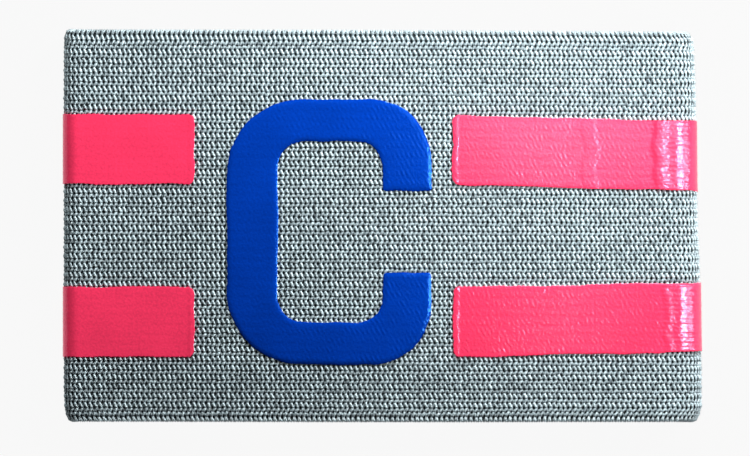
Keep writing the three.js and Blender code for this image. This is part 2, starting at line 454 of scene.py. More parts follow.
def winding(tree, plies, twist):
    """A wave from -1 to 1 that winds round each strand, with a number of plies."""
    _, parts = uv_place(tree, "strand")
    return maths(tree, "SINE", plus(tree, times(tree, parts[0], plies * TURN), times(tree, parts[1], twist)))


def float_middle(loop, knit):
    """Where across the band the long floats of a rib have their middle."""
    return loop.sizes.width / 2 - knit.first_rib - (knit.pair + knit.rib) / 2


# Numbers of the materials. NOISE is a scale, per millimetre of cloth in the painted stitches, the lining and
# the film and per metre elsewhere, and a detail. RELIEF is the strength and depth of a bump. Four numbers in
# a row are a range and the range it is moved to.
SHAKE_NOISE = (0.5, 3.0)
SHAKE = 0.5
FADE_BETWEEN_RIBS = (-1.0, 1.0, 0.25, 1.0)


def stitch_pattern(tree, loop, knit):
    """The cloth's place, its part along, and strokes and ribs, from -1 in the hollows to 1 on the yarn."""
    uv, parts = uv_place(tree, "cloth")
    shake = times(tree, noise(tree, uv, *SHAKE_NOISE), SHAKE)
    ribs_up = maths(tree, "SUBTRACT", parts[1], float_middle(loop, knit) / MM)
    in_ribs = times(tree, ribs_up, MM / knit.rib)
    in_rib = maths(tree, "SUBTRACT", maths(tree, "FRACT", plus(tree, in_ribs, 0.5)), 0.5)
    lean = 0.5 * knit.rib / (knit.rib - knit.pair)
    stitches = times(tree, maths(tree, "SUBTRACT", parts[0], loop.first / MM), MM / knit.pitch)
    leaning = plus(tree, stitches, times(tree, in_rib, lean))
    wave = maths(tree, "COSINE", times(tree, plus(tree, leaning, shake), TURN))
    ribs = maths(tree, "COSINE", times(tree, in_ribs, TURN))
    strokes = times(tree, wave, spread(tree, ribs, *FADE_BETWEEN_RIBS))
    return uv, parts[0], strokes, ribs


YARN_NOISE = (900.0, 3.0)
YARN_MOTTLE = (0.2, 0.8, -0.15, 0.15)
YARN_PLIES = 2
YARN_TWIST = 16.0
YARN_RELIEF = (0.5, 0.05 * MM)


def yarn_material(colours):
    material, tree, shader = new_material("yarn", roughness=0.42, specular=0.6)
    tone = add_node(tree, "ShaderNodeAttribute", attribute_name="tone").outputs["Fac"]
    fibre = noise(tree, object_place(tree), *YARN_NOISE)
    shade = plus(tree, tone, spread(tree, fibre, *YARN_MOTTLE))
    stops = [(0.0, colours.yarn_dark), (1.0, colours.yarn_light)]
    tree.links.new(ramp(tree, shade, stops), shader.inputs["Base Color"])
    bump(tree, shader, winding(tree, YARN_PLIES, YARN_TWIST), *YARN_RELIEF)
    return material


GROUND_NOISE = (1500.0, 3.0)
GROUND_RELIEF = (0.6, 0.1 * MM)


def ground_material(colours):
    material, tree, shader = new_material("knit_ground", roughness=0.9)
    # Near black: the rubber threads, and painted shade for the holes between the strands.
    fibre = noise(tree, object_place(tree), *GROUND_NOISE)
    shade = ramp(tree, fibre, [(0.3, scaled(colours.ground, 0.6)), (0.7, scaled(colours.ground, 1.6))])
    tree.links.new(shade, shader.inputs["Base Color"])
    bump(tree, shader, fibre, *GROUND_RELIEF)
    return material


LINING_NOISE = (1.3, 3.0)
LINING_MOTTLE = 0.4
LINING_STROKES = (-1.0, 1.0, 0.0, 0.6)
LINING_RELIEF = (0.8, 0.2 * MM)


def lining_material(colours, loop, knit):
    """The same knit where it has no strands: the loop's inner face and the inner end of the lap."""
    material, tree, shader = new_material("knit_inside", roughness=0.8)
    uv, _, strokes, ribs = stitch_pattern(tree, loop, knit)
    mottle = times(tree, noise(tree, uv, *LINING_NOISE), LINING_MOTTLE)
    level = plus(tree, spread(tree, strokes, *LINING_STROKES), mottle)
    # The hollows between the strokes take the near-black ground, as painted shade, and the strokes take the
    # yarn's tones.
    stops = [(0.2, colours.ground), (0.4, colours.yarn_dark), (0.8, scaled(colours.yarn_light, 0.8))]
    tree.links.new(ramp(tree, level, stops), shader.inputs["Base Color"])
    bump(tree, shader, plus(tree, strokes, ribs), *LINING_RELIEF)
    return material


# The film's surface. MARKS and LINES say where along the loop, in millimetres, the stitches and the ribs
# begin to show through it.
PATCH_NOISE = (0.12, 3.0)
PATCH_TONE = (0.3, 0.7, 0.0, 0.4)
GRAIN_NOISE = (2.2, 4.0)
GRAIN_TONE = (0.3, 0.7, 0.0, 0.6)
GRAIN_HEIGHT = 3.0
PRESSING_NOISE = (0.35, 3.0)
PRESSING = (0.4, 0.65, 0.05, 1.0)
UNEVEN_NOISE = (0.9, 2.0)
UNEVEN = (0.35, 0.62, 0.25, 1.1)
MARKS = (-30.0, 25.0, 0.05, 1.0)
# The share by which the raised stitch marks are painted lighter: painted highlights.
MARK_PAINTED_HIGHLIGHT = -0.4
LINES = (47.5, 52.0, 0.05, 1.6)
WORN = (0.6, 1.4, 0.095, 0.19)
FILM_RELIEF = (1.0, 0.02 * MM)
FILM_LIGHT, FILM_DARK = 1.2, 0.82

# The finishes of the two films: the tint of the shine, the glow, which is painted light that keeps the film
# bright where the lamps fall off, and how far the stitches show through, in relief and as painted highlights.
LETTER_FINISH = ((0.05, 0.3, 1.0), 0.0, 1.9)
STRIPE_FINISH = ((1.0, 0.66, 1.0), 0.28, 0.6)


def film_material(name, shade, finish, loop, knit):
    """Film pressed on knit: glossy, with the stitches showing through where it was pressed hardest, their
    raised marks painted lighter as painted highlights, and a glow of its own colour as painted light.
    """
    tint, painted_glow, showing = finish
    material, tree, shader = new_material(name)
    uv, along, strokes, ribs = stitch_pattern(tree, loop, knit)
    patches, grain = noise(tree, uv, *PATCH_NOISE), noise(tree, uv, *GRAIN_NOISE)
    pressing = spread(tree, noise(tree, uv, *PRESSING_NOISE), *PRESSING)
    marks = times(tree, strokes, times(tree, spread(tree, along, *MARKS), pressing))
    mottle = plus(tree, spread(tree, patches, *PATCH_TONE), spread(tree, grain, *GRAIN_TONE))
    # Painted highlight: the film's colour is lighter on the raised stitch marks.
    level = plus(tree, mottle, times(tree, marks, MARK_PAINTED_HIGHLIGHT * showing))
    tone = ramp(tree, level, [(0.0, scaled(shade, FILM_LIGHT)), (1.0, scaled(shade, FILM_DARK))])
    tree.links.new(tone, shader.inputs["Base Color"])
    worn = spread(tree, plus(tree, patches, grain), *WORN)
    tree.links.new(worn, shader.inputs["Roughness"])
    shader.inputs["Specular Tint"].default_value = (*tint, 1)
    # Painted light: the film glows with its own colour, so that it stays bright where the lamps fall off.
    shader.inputs["Emission Color"].default_value = (*shade, 1)
    shader.inputs["Emission Strength"].default_value = painted_glow
    uneven = spread(tree, noise(tree, uv, *UNEVEN_NOISE), *UNEVEN)
    near_fold = times(tree, uneven, spread(tree, along, *LINES))
    lines = times(tree, times(tree, ribs, ribs), near_fold)
    relief = plus(tree, plus(tree, times(tree, marks, showing), lines), times(tree, grain, GRAIN_HEIGHT))
    bump(tree, shader, relief, *FILM_RELIEF)
    return material


THREAD_PLIES = 1
THREAD_TWIST = 60.0
THREAD_RELIEF = (0.6, 0.04 * MM)


def thread_material(colours):
    material, tree, shader = new_material("seam_thread", roughness=0.6)
    ply = winding(tree, THREAD_PLIES, THREAD_TWIST)
    # Painted shade: the thread is darker in the grooves between its plies.
    stops = [(0.0, scaled(colours.thread, 0.7)), (1.0, colours.thread)]
    tree.links.new(ramp(tree, ply, stops), shader.inputs["Base Color"])
    bump(tree, shader, ply, *THREAD_RELIEF)
    return material


FLOOR_NOISE = (3.0, 2.0)
FLOOR_GLOW = 0.932


def floor_material(colours):
    material, tree, shader = new_material("floor", roughness=0.9, specular=0.0)
    grain = noise(tree, object_place(tree), *FLOOR_NOISE)
    stops = [(0.3, scaled(colours.floor, 0.95)), (0.7, colours.floor)]
    tree.links.new(ramp(tree, grain, stops), shader.inputs["Base Color"])
    shader.inputs["Emission Color"].default_value = (1, 1, 1, 1)
    shader.inputs["Emission Strength"].default_value = FLOOR_GLOW
    return material


CORE_STEP = 0.8 * MM
CORE_ROUNDING = 0.4 * MM
CORE_INSET = 0.45 * MM


class ARMBAND_OT_core(bpy.types.Operator):
    """Makes the ground of the knit: one flat cloth, wrapped round the folded loop and lapped at the back"""

    bl_idname = "armband.core"
    bl_label = "Band ground"

    def execute(self, context):
        loop, knit, _ = loop_and_sizes(context.scene)
        sizes = loop.sizes
        deselect_all()
        flat_length = loop.end - loop.start
        bpy.ops.mesh.primitive_grid_add(
            x_subdivisions=round(flat_length / CORE_STEP),
            y_subdivisions=round(sizes.width / (2 * CORE_STEP)),
            size=1,
        )
        core = context.object
        core.name = core.data.name = "band_ground"
        points = points_of(core.data)
        points[:, 0] = (points[:, 0] + 0.5) * flat_length + loop.start
        points[:, 1] *= sizes.width - 2 * CORE_INSET
        points[:, 2] = -knit.relief
        put_points(core.data, points)
        apply_modifier(core, "SOLIDIFY", thickness=sizes.wall - knit.relief, offset=-1.0)
        apply_modifier(core, "BEVEL", width=CORE_ROUNDING, segments=2, limit_method="ANGLE")
        flat = points_of(core.data)
        bare = (flat[:, 2] < -sizes.wall + CORE_ROUNDING / 2) | (flat[:, 0] < loop.first)
        is_lining = [int(all(bare[corner] for corner in face.vertices)) for face in core.data.polygons]
        finish_cloth(core, flat, loop)
        colours = context.scene.armband_colours
        dress(core, ground_material(colours), lining_material(colours, loop, knit), slot="knit")
        core.data.polygons.foreach_set("material_index", is_lining)
        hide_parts("elastic_band")
        return {"FINISHED"}


def plain_strand(sides, spans):
    """One strand modelled upright: 1 long, 1 in radius and cut across into equal spans."""
    deselect_all()
    bpy.ops.mesh.primitive_cylinder_add(vertices=sides, radius=1, depth=1, location=(0, 0, 0.5))
    strand = bpy.context.object
    bpy.ops.object.transform_apply(location=True, rotation=False, scale=False)
    bpy.ops.object.mode_set(mode="EDIT")
    for span in range(1, spans):
        bpy.ops.mesh.select_all(action="SELECT")
        bpy.ops.mesh.bisect(plane_co=(0, 0, span / spans), plane_no=(0, 0, 1))
    bpy.ops.object.mode_set(mode="OBJECT")
    points = points_of(strand.data)
    faces = np.array([face.vertices[:] for face in strand.data.polygons if len(face.vertices) == 4])
    ends = np.array([face.vertices[:] for face in strand.data.polygons if abs(face.normal.z) > 0.5])
    bpy.data.objects.remove(strand)
    # With four sides the ends are quads too, and so already among the faces
    if sides == 4:
        return points, [faces]
    return points, [faces, ends]


THINNING = 0.22


def copy_strands(name, unit, strands, loop):
    """One piece of many strands, each laid along its own path over the cloth and thinner at its ends."""
    points, face_groups = unit
    around, over, share = points.T
    path, out = strands["path"], strands["out"]
    rings = path.shape[1]
    ring = np.rint(share * (rings - 1)).astype(int)
    tangent = np.empty_like(path)
    tangent[:, 0] = path[:, 1] - path[:, 0]
    tangent[:, -1] = path[:, -1] - path[:, -2]
    tangent[:, 1:-1] = path[:, 2:] - path[:, :-2]
    side = np.cross(out, tangent)
    side /= np.linalg.norm(side, axis=2, keepdims=True)
    swell = 1 - THINNING * (2 * share - 1) ** 2
    wide = strands["width"][:, None] / 2 * swell * around
    high = strands["height"][:, None] / 2 * swell * over
    flat = path[:, ring] + side[:, ring] * wide[:, :, None] + out[:, ring] * high[:, :, None]
    flat = flat.reshape(-1, 3)
    copies, size = len(path), len(points)
    offsets = (np.arange(copies) * size)[:, None, None]
    faces = []
    for group in face_groups:
        faces += (group[None] + offsets).reshape(-1, group.shape[1]).tolist()
    mesh = bpy.data.meshes.new(name)
    mesh.from_pydata(flat, [], faces)
    tone = mesh.attributes.new("tone", "FLOAT", "POINT")
    tone.data.foreach_set("value", np.repeat(strands["tone"], size).astype(np.float32))
    corners = corner_vertices(mesh)
    set_uv(mesh, "OFBake", uv_share(flat)[corners])
    turn = np.arctan2(over, around) / TURN + 0.5
    set_uv(mesh, "strand", np.tile(np.stack([turn, share], axis=1), (copies, 1))[corners])
    put_points(mesh, loop.wrap(flat))
    piece = bpy.data.objects.new(name, mesh)
    bpy.context.collection.objects.link(piece)
    return piece


def bowed(start, end, rise):
    """Paths from start to end that face upward, each with its middle raised."""
    middle = (start + end) / 2
    middle[:, 2] += rise
    path = np.stack([start, middle, end], axis=1)
    return {"path": path, "out": np.broadcast_to((0.0, 0.0, 1.0), path.shape)}


def join_strands(name, parts, material, slot):
    deselect_all()
    for part in parts:
        part.select_set(True)
    bpy.context.view_layer.objects.active = parts[0]
    bpy.ops.object.join()
    piece = bpy.context.object
    piece.name = piece.data.name = name
    bpy.ops.object.mode_set(mode="EDIT")
    bpy.ops.mesh.select_all(action="SELECT")
    bpy.ops.mesh.normals_make_consistent(inside=False)
    bpy.ops.object.mode_set(mode="OBJECT")
    bpy.ops.object.shade_smooth()
    return dress(piece, material, slot=slot)


def hole_rows(sizes, knit):
    """Distances of the rows of stitch holes from the upper edge."""
    rows = [knit.edge_row, knit.second_row]
    place = knit.first_rib
    while place + knit.pair < sizes.width - knit.edge_row - knit.pair:
        rows += [place, place + knit.pair]
        place += knit.rib
    return np.array(rows + [sizes.width - knit.edge_row])


def box_distance(x, y, low, high, radius):
    """How far points lie outside a box with rounded corners, and less than 0 inside it."""
    middle, half = (np.array(low) + high) / 2, (np.array(high) - low) / 2
    dx = np.abs(x - middle[0]) - half[0] + radius
    dy = np.abs(y - middle[1]) - half[1] + radius
    return np.hypot(np.maximum(dx, 0), np.maximum(dy, 0)) + np.minimum(np.maximum(dx, dy), 0) - radius


def letter_box(film):
    half = np.array([film.letter_width, film.letter_height]) / 2
    centre = np.array([film.letter_x, film.letter_y])
    return centre - half, centre + half


def letter_inset(x, y, film):
    """How far points lie inside the letter's outline, as seen from above, and less than 0 outside it."""
    low, high = letter_box(film)
    inner = low[0] + film.stem
    counter_low, counter_high = (inner, low[1] + film.arm), (high[0] - film.lip, high[1] - film.arm)
    mouth_low = (inner, low[1] + film.lip_length)
    mouth_high = (high[0] + film.lip, high[1] - film.lip_length)
    outside = np.maximum(
        box_distance(x, y, low, high + (film.letter_width, 0), film.stem_corner),
        box_distance(x, y, low - (film.letter_width, 0), high, film.lip_corner),
    )
    counter = box_distance(x, y, counter_low, counter_high, film.counter_corner)
    mouth = box_distance(x, y, mouth_low, mouth_high, film.end_corner)
    return np.minimum(-outside, np.minimum(counter, mouth))


# The stripes. The columns are: name, side, row and which way it turns with the tilt.
STRIPES = (
    ("stripe_left_upper", -1, 1, 0),
    ("stripe_left_lower", -1, -1, 0),
    ("stripe_right_upper", 1, 1, -1),
    ("stripe_right_lower", 1, -1, 1),
)


def stripe_span(loop, film, side):
    """The seen x of a stripe's inner end, and the places along the loop of its two ends, in order."""
    margin = film.right_margin if side > 0 else film.left_margin
    start_x = film.letter_x + side * (film.letter_width / 2 + margin)
    fold_x = loop.right_x if side > 0 else loop.left_x
    start = float(loop.face_to_flat(np.array([[start_x, film.stripe_y, 0]]))[0, 0])
    end = loop.back_along(side, fold_x - side * film.stripe_return)
    return start_x, (start, end) if side > 0 else (end, start)


def stripe_lean(loop, film, start_x, turn, along):
    """How far the tilt moves a stripe across the band."""
    return turn * math.tan(film.tilt) * (loop.seen_x(along) - start_x)


def under_stripes(loop, film, along, across, margin):
    """Which flat places a stripe covers, and are further in from its edges than the margin."""
    covered = np.zeros(len(along), bool)
    for _, side, row, turn in STRIPES:
        start_x, (low, high) = stripe_span(loop, film, side)
        centre = film.stripe_y + row * film.stripe_spacing / 2 + stripe_lean(loop, film, start_x, turn, along)
        near = np.abs(across - centre) < film.stripe_height / 2 - margin
        covered |= near & (along > low + margin) & (along < high - margin)
    return covered


# The kinds of strand. The columns are: which way it leans, whether it is a long float, its width and height
# as shares of the yarn's, the depth of its ends and the rise of its middle as shares of the relief, its tone
# from dark to light yarn, darker for the strands that lie beneath as painted shade, and its number of sides.
STRAND_KINDS = (
    (1, True, 1.06, 1.00, 0.40, 0.22, 0.82, 5),
    (-1, True, 0.90, 0.85, 0.80, 0.06, 0.32, 4),
    (-1, False, 1.05, 0.95, 0.44, 0.12, 0.60, 4),
    (1, False, 0.95, 0.90, 0.70, 0.04, 0.32, 4),
)
# How far strands differ from each other, in shares
NODE_JITTER = 0.05
SIZE_JITTER = 0.06
RISE_JITTER = 0.3
TONE_JITTER = 0.15
RIB_TONE_JITTER = 0.05
# Waves of lighter and darker knit, as their lengths in millimetres and their shares of tone
PATCHES = ((9.0, 0.03), (23.0, 0.04))
# In how many directions each wave runs, and by how much its length may differ
WAVE_HEADINGS = 4
WAVE_STRETCH = (0.8, 1.25)


def knit_nodes(loop, knit, rng):
    """Where the strands meet: a row of places for each row of holes, every second one moved half a stitch."""
    rows = hole_rows(loop.sizes, knit)
    columns = int((loop.end - loop.first) / knit.pitch)
    column = np.arange(columns)[None] + 0.5 * (np.arange(len(rows)) % 2)[:, None]
    along = loop.first + knit.pitch * (column + 0.5)
    across = loop.sizes.width / 2 - np.repeat(rows[:, None], columns, axis=1)
    along = along + rng.normal(0, NODE_JITTER * knit.pitch, along.shape)
    across = across + rng.normal(0, NODE_JITTER * knit.pitch, along.shape)
    return rows, np.stack([along, across, np.zeros(along.shape)], axis=2)


def wave_sum(places, waves, rng):
    """A smooth random value for each flat place, from waves of the given lengths in millimetres and sizes."""
    total = np.zeros(len(places))
    for wave, size in waves:
        for heading in rng.uniform(0, math.pi, WAVE_HEADINGS):
            ahead = places[:, 0] * math.cos(heading) + places[:, 1] * math.sin(heading)
            own_length = wave * MM * rng.uniform(*WAVE_STRETCH)
            total += size / 2 * np.sin(TURN * ahead / own_length + rng.uniform(0, TURN))
    return total


def strands_of_kind(kind, rows, nodes, knit, rng):
    """All the strands of one kind, each from a place in one row of holes to one in the next row."""
    lean, is_float, width, height, depth, rise, tone, _ = kind
    starts, ends, tones = [], [], []
    rib_tone = rng.normal(0, RIB_TONE_JITTER, len(rows))
    last = nodes.shape[1] - 1
    for row in range(len(rows) - 1):
        is_long = rows[row + 1] - rows[row] > 0.5 * knit.rib
        if is_long != is_float:
            continue
        ahead = row % 2
        starts.append(nodes[row, :last] if lean > 0 else nodes[row, 1:])
        ends.append(nodes[row + 1, ahead : last + ahead])
        tones.append(np.full(last, rib_tone[row]))
    start, end = np.concatenate(starts).copy(), np.concatenate(ends).copy()
    number = len(start)
    start[:, 2] = end[:, 2] = -depth * knit.relief
    strands = bowed(start, end, rise * knit.relief * (1 + rng.normal(0, RISE_JITTER, number)))
    # Painted shade: each kind's tone is darker for the strands lying beneath, with random change per rib and
    # strand.
    tones = tone + np.concatenate(tones) + rng.normal(0, TONE_JITTER, number)
    return {
        **strands,
        "width": knit.yarn_width * width * (1 + rng.normal(0, SIZE_JITTER, number)),
        "height": knit.yarn_height * height * (1 + rng.normal(0, SIZE_JITTER, number)),
        "tone": tones + wave_sum(strands["path"][:, 1], PATCHES, rng),
    }


def chosen(strands, mask):
    return {name: values[mask] for name, values in strands.items()}


def straightened(strands):
    """The same strands with only their two ends, for the underside."""
    return {**strands, "path": strands["path"][:, ::2], "out": strands["out"][:, ::2]}


class ARMBAND_OT_knit(bpy.types.Operator):
    """Lays the strands of the ribbed knit over the ground, in joined pieces round the loop"""

    bl_idname = "armband.knit"
    bl_label = "Knit strands"

    def execute(self, context):
        loop, knit, film = loop_and_sizes(context.scene)
        rng = np.random.default_rng(SEED)
        rows, nodes = knit_nodes(loop, knit, rng)
        under_left = loop.back_along(-1, loop.left_x)
        under_right = loop.back_along(1, loop.right_x)
        edges = (loop.start, under_left, loop.face_along[0], 0, loop.face_along[-1], under_right, loop.end)
        names = ("back_left", "fold_left", "face_left", "face_right", "fold_right", "back_right")
        units = {form: plain_strand(*form) for form in ((4, 1), (4, 2), (5, 2))}
        yarn = yarn_material(context.scene.armband_colours)
        made = {name: [] for name in names}
        for kind in STRAND_KINDS:
            strands = strands_of_kind(kind, rows, nodes, knit, rng)
            middle = strands["path"][:, 1]
            plan = loop.plan(middle)
            on_face = (middle[:, 0] > loop.face_along[0]) & (middle[:, 0] < loop.face_along[-1])
            hidden = on_face & (letter_inset(plan[:, 0], plan[:, 1], film) > knit.hide)
            hidden |= under_stripes(loop, film, middle[:, 0], middle[:, 1], knit.hide)
            for place, name in enumerate(names):
                inside = (middle[:, 0] >= edges[place]) & (middle[:, 0] < edges[place + 1])
                part = chosen(strands, inside & ~hidden)
                unit = units[kind[-1], 2]
                if name.startswith("back"):
                    part, unit = straightened(part), units[4, 1]
                made[name].append(copy_strands(f"part_{name}", unit, part, loop))
        for name, parts in made.items():
            join_strands(f"knit_{name}", parts, yarn, "knit")
        return {"FINISHED"}


# How the yarn turns over an edge. The columns are: distance in from the edge in millimetres, the first being
# that of the row of holes, height over the knit in millimetres, sideways move in quarter stitches, and the
# way it faces, outward and upward.
RIM_TURN = (
    (None, -0.28, 0.0, 0.0, 1.0),
    (0.12, -0.22, 0.8, 0.5, 0.87),
    (-0.10, -0.80, 1.1, 1.0, 0.0),
    (0.35, -1.42, 1.3, 0.5, -0.87),
)
RIM_WIDTH = 0.42 * MM
RIM_HEIGHT = 0.33 * MM
RIM_TONE = 0.62
RIM_TONE_LEAN = 0.08


class ARMBAND_OT_rims(bpy.types.Operator):
    """Turns the yarn over both edges of the band"""

    bl_idname = "armband.rims"
    bl_label = "Knit edges"

    def execute(self, context):
        loop, knit, _ = loop_and_sizes(context.scene)
        _, nodes = knit_nodes(loop, knit, np.random.default_rng(SEED))
        rng = np.random.default_rng(SEED + 1)
        half = loop.sizes.width / 2
        parts = []
        for edge, row in ((1, 0), (-1, -1)):
            for lean in (1, -1):
                start = nodes[row]
                path = np.empty((len(start), len(RIM_TURN), 3))
                out = np.empty_like(path)
                for ring, (inset, height, move, outward, upward) in enumerate(RIM_TURN):
                    on_row = inset is None
                    path[:, ring, 0] = start[:, 0] + lean * move * knit.pitch / 4
                    path[:, ring, 1] = start[:, 1] if on_row else edge * (half - inset * MM)
                    path[:, ring, 2] = height * MM
                    out[:, ring] = (0, edge * outward, upward)
                number = len(start)
                strands = {
                    "path": path,
                    "out": out,
                    "width": RIM_WIDTH * (1 + rng.normal(0, SIZE_JITTER, number)),
                    "height": RIM_HEIGHT * (1 + rng.normal(0, SIZE_JITTER, number)),
                    "tone": RIM_TONE + RIM_TONE_LEAN * lean + rng.normal(0, TONE_JITTER, number),
                }
                parts.append(copy_strands("part_rim", plain_strand(4, len(RIM_TURN) - 1), strands, loop))
        join_strands("knit_edges", parts, bpy.data.materials["yarn"], "knit")
        return {"FINISHED"}


SEAM_STITCH = 0.75 * MM
SEAM_WIDTH = 2.2 * MM
SEAM_THREAD = 0.3 * MM
SEAM_DEPTH = 0.2 * MM
SEAM_INSET = 0.6 * MM
SEAM_TONE = 0.5


class ARMBAND_OT_seam(bpy.types.Operator):
    """Sews the lap on the underside with two zigzag seams, one of them over the outer layer's end"""

    bl_idname = "armband.seam"
    bl_label = "Lap seam"

    def execute(self, context):
        loop, _, _ = loop_and_sizes(context.scene)
        reach = loop.sizes.width / 2 - SEAM_INSET
        across = np.arange(-reach, reach, SEAM_STITCH)
        parts = []
        for outer in (loop.end, loop.end - loop.sizes.lap + SEAM_WIDTH + SEAM_INSET):
            along = outer - SEAM_WIDTH * (np.arange(len(across)) % 2)
            places = np.stack([along, across, np.full(len(across), -SEAM_DEPTH)], axis=1)
            thread = np.full(len(places) - 1, SEAM_THREAD)
            strands = {"width": thread, "height": thread, "tone": np.full(len(thread), SEAM_TONE)}
            strands.update(bowed(places[:-1], places[1:], 0.0))
            parts.append(copy_strands("part_seam", plain_strand(6, 2), strands, loop))
        join_strands("lap_seam", parts, thread_material(context.scene.armband_colours), "knit")
        return {"FINISHED"}


def cut_grid(step_x, step_y, low, high):
    """Cuts the faces being edited into a grid, so that they can bend."""
    for axis, step in ((0, step_x), (1, step_y)):
        normal = (1, 0, 0) if axis == 0 else (0, 1, 0)
        for place in np.arange(low[axis] + step, high[axis], step):
            bpy.ops.mesh.select_all(action="SELECT")
            bpy.ops.mesh.bisect(plane_co=[place * part for part in normal], plane_no=normal)


def unselected_cage(piece):
    cage = bmesh.from_edit_mesh(piece.data)
    for part in (*cage.faces, *cage.edges, *cage.verts):
        part.select = False
    return cage


def round_corners(piece, corners, radius, segments):
    """Rounds the outline's corners nearest to the given places."""
    cage = unselected_cage(piece)
    for x, y in corners:
        nearest = min(cage.verts, key=lambda vertex: (vertex.co - Vector((x, y, 0))).length)
        nearest.select = True
    bmesh.update_edit_mesh(piece.data)
    bpy.ops.mesh.bevel(offset=radius, offset_type="OFFSET", segments=segments, affect="VERTICES")


def select_edge(piece, x, y):
    """Selects only the edge whose middle is nearest to a place."""
    cage = unselected_cage(piece)
    place = Vector((x, y, 0))

    def distance(edge):
        return ((edge.verts[0].co + edge.verts[1].co) / 2 - place).length

    nearest = min(cage.edges, key=distance)
    nearest.select = True
    for vertex in nearest.verts:
        vertex.select = True
    bmesh.update_edit_mesh(piece.data)


def flat_block(name, low, high):
    """A flat rectangle, left in edit mode."""
    deselect_all()
    centre = (np.array(low) + high) / 2
    bpy.ops.mesh.primitive_plane_add(size=1, location=(*centre, 0))
    piece = bpy.context.object
    piece.name = piece.data.name = name
    piece.scale = (high[0] - low[0], high[1] - low[1], 1)
    bpy.ops.object.transform_apply(location=True, rotation=False, scale=True)
    bpy.ops.object.mode_set(mode="EDIT")
    bpy.ops.mesh.select_mode(type="VERT")
    return piece


EDGE_SEGMENTS = 3
EDGE_ANGLE = math.radians(60)


def thicken_film(piece, film, top):
    """Gives the film its thickness and round edges, and its flat points with the top at its height."""
    bpy.ops.object.mode_set(mode="OBJECT")
    apply_modifier(piece, "SOLIDIFY", thickness=film.thickness, offset=-1.0)
    apply_modifier(
        piece, "BEVEL", width=film.rounding, segments=EDGE_SEGMENTS, limit_method="ANGLE",
        angle_limit=EDGE_ANGLE,
    )
    flat = points_of(piece.data)
    flat[:, 2] += top - flat[:, 2].max()
    return flat


RIB_SHOWING = 0.01 * MM
STRIPE_SCALLOP = 0.06 * MM
LETTER_SCALLOP = STRIPE_SCALLOP / 3
# Waves in the film's edges, as their lengths and sizes in millimetres
EDGE_WAVES = ((2.3, 0.03), (6.0, 0.05), (17.0, 0.07))


def drape_film(flat, loop, knit, scallop, rng):
    """Lets the film follow the knit: its outline bites in at each stitch, and the ribs lift it."""
    stitch = TURN * (flat[:, 0] - loop.first) / knit.pitch
    rib = TURN * (flat[:, 1] - float_middle(loop, knit)) / knit.rib
    moved = flat.copy()
    moved[:, 1] += scallop * np.cos(stitch) + wave_sum(flat, EDGE_WAVES, rng) * MM
    moved[:, 0] += scallop * np.cos(rib) + wave_sum(flat, EDGE_WAVES, rng) * MM
    moved[:, 2] += RIB_SHOWING * np.cos(rib)
    return moved


STRAIGHT = math.radians(1)
CORNER_SEGMENTS = 10
LETTER_STEP = 0.36 * MM
EDGE_FALL = 0.2 * MM
EDGE_REACH = 0.8 * MM
STRIPE_STEP_ALONG = 0.3 * MM
STRIPE_STEP_ACROSS = 0.4 * MM


def cut_letter(film):
    """The letter's outline, drawn out block by block from its lower lip, then rounded and cut for bending."""
    low, high = letter_box(film)
    lip_x, stem_x = high[0] - film.lip, low[0] + film.stem
    arm_low, arm_high = low[1] + film.arm, high[1] - film.arm
    lip_low, lip_high = low[1] + film.lip_length, high[1] - film.lip_length
    piece = flat_block("letter_film", (lip_x, low[1]), (high[0], arm_low))
    arm_y, top_y = low[1] + film.arm / 2, high[1] - film.arm / 2
    lip_middle, stem_middle = (high[0] + lip_x) / 2, (low[0] + stem_x) / 2
    # Each step: the middle of the edge that is drawn out, and how far it moves
    steps = (
        (lip_middle, arm_low, 0, lip_low - arm_low),
        (lip_x, arm_y, stem_x - lip_x, 0),
        (stem_x, arm_y, low[0] - stem_x, 0),
        (stem_middle, arm_low, 0, arm_high - arm_low),
        (stem_middle, arm_high, 0, high[1] - arm_high),
        (stem_x, top_y, lip_x - stem_x, 0),
        (lip_x, top_y, high[0] - lip_x, 0),
        (lip_middle, arm_high, 0, lip_high - arm_high),
    )
    for x, y, move_x, move_y in steps:
        select_edge(piece, x, y)
        bpy.ops.mesh.extrude_region_move(TRANSFORM_OT_translate={"value": (move_x, move_y, 0)})
    bpy.ops.mesh.select_all(action="SELECT")
    bpy.ops.mesh.dissolve_limited(angle_limit=STRAIGHT)
    round_corners(piece, [(low[0], low[1]), (low[0], high[1])], film.stem_corner, CORNER_SEGMENTS * 2)
    round_corners(piece, [(high[0], low[1]), (high[0], high[1])], film.lip_corner, CORNER_SEGMENTS * 2)
    counter = [(stem_x, arm_low), (stem_x, arm_high), (lip_x, arm_low), (lip_x, arm_high)]
    round_corners(piece, counter, film.counter_corner, CORNER_SEGMENTS)
    ends = [(x, y) for x in (lip_x, high[0]) for y in (lip_low, lip_high)]
    round_corners(piece, ends, film.end_corner, CORNER_SEGMENTS // 2)
    cut_grid(LETTER_STEP, LETTER_STEP, low, high)
    return piece


